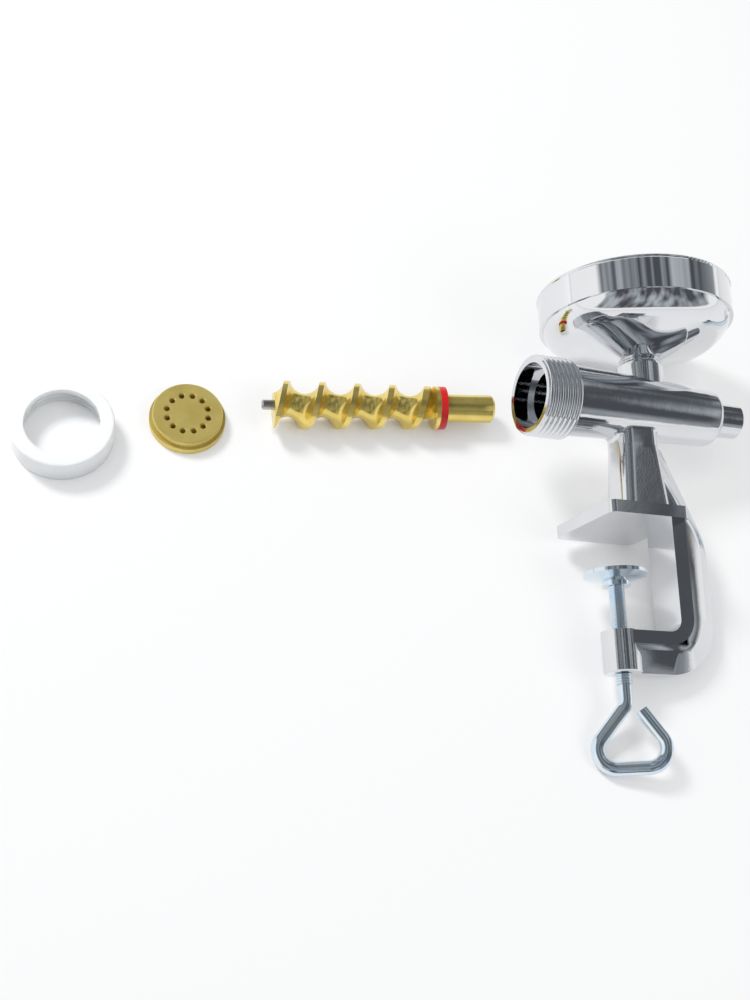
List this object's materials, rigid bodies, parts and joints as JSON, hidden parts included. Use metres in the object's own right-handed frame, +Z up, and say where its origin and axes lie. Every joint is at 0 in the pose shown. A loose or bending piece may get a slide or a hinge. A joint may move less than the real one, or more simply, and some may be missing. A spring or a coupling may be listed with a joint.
{
  "type": "pasta extruder",
  "caption": "Hand-cranked pasta extruder taken apart: chromed hopper and barrel on a screw clamp, brass auger, brass die, plastic ring nut and a crank, lying in a row",
  "frame": {"origin": "centre of the bounding box's base, on the table the pieces lie on", "axes": "+X runs along the row from the ring nut to the crank, +Z is up from the table, +Y runs from the clamp to the hopper"},
  "size_m": [0.631, 0.3139, 0.1245],
  "materials": {
    "casting_chrome": "chromed casting, slightly uneven",
    "hopper_chrome": "mirror chromed sheet",
    "zinc_steel": "zinc plated, satin",
    "white_plastic": "moulded, semi gloss",
    "turned_brass": "turned face",
    "cast_brass": "cast, satin",
    "red_rubber": "smooth"
  },
  "bodies": {
    "machine": {"barrel": "casting_chrome", "clamp_frame": "casting_chrome", "hopper": "hopper_chrome"},
    "clamp_pad": {"clamp_pad": "zinc_steel"},
    "clamp_screw": {"clamp_screw": "zinc_steel", "clamp_eye": "zinc_steel", "pad_rivet": "zinc_steel"},
    "seal": {"auger_seal": "red_rubber"},
    "auger": {"auger": "cast_brass", "nose_pin": "zinc_steel"},
    "die": {"die_plate": "turned_brass"},
    "ring_nut": {"ring_nut": "white_plastic"},
    "crank": {"crank_hub": "zinc_steel", "crank_stub": "zinc_steel", "crank_arm": "zinc_steel", "grip_axle": "zinc_steel", "inner_washer": "zinc_steel", "outer_washer": "zinc_steel", "cap_nut": "zinc_steel"},
    "grip": {"grip": "white_plastic"}
  },
  "joints": [
    {"name": "pad_travel", "type": "slide", "parent": "machine", "child": "clamp_pad", "axis": [0.0184, 0.977, 0.2124], "range_m": [-0.026, 0.014]},
    {"name": "screw_turn", "type": "hinge", "parent": "clamp_pad", "child": "clamp_screw", "pos_m": [0.04163, -0.06036, 0.02764], "axis": [0.0184, 0.977, 0.2124], "range_deg": [-6250, 3370]},
    {"name": "auger_lift", "type": "slide", "parent": "machine", "child": "seal", "axis": [0, 0, 1], "range_m": [0, 0.06]},
    {"name": "auger_turn", "type": "hinge", "parent": "seal", "child": "auger", "pos_m": [-0.1549, 0.0892, 0.0155], "axis": [0.9999, 0, -0.0164], "continuous": true},
    {"name": "die_lift", "type": "slide", "parent": "machine", "child": "die", "axis": [0, 0, 1], "range_m": [0, 0.04]},
    {"name": "ring_lift", "type": "slide", "parent": "machine", "child": "ring_nut", "axis": [0, 0, 1], "range_m": [0, 0.05]},
    {"name": "crank_lift", "type": "slide", "parent": "machine", "child": "crank", "axis": [0, 0, 1], "range_m": [0, 0.06]},
    {"name": "grip_turn", "type": "hinge", "parent": "crank", "child": "grip", "pos_m": [0.2261, 0.14267, 0.0135], "axis": [1, 0, 0], "continuous": true}
  ],
  "couplings": [
    {"joint": "screw_turn", "follows": "pad_travel", "rad_per_m": 4188.8}
  ]
}
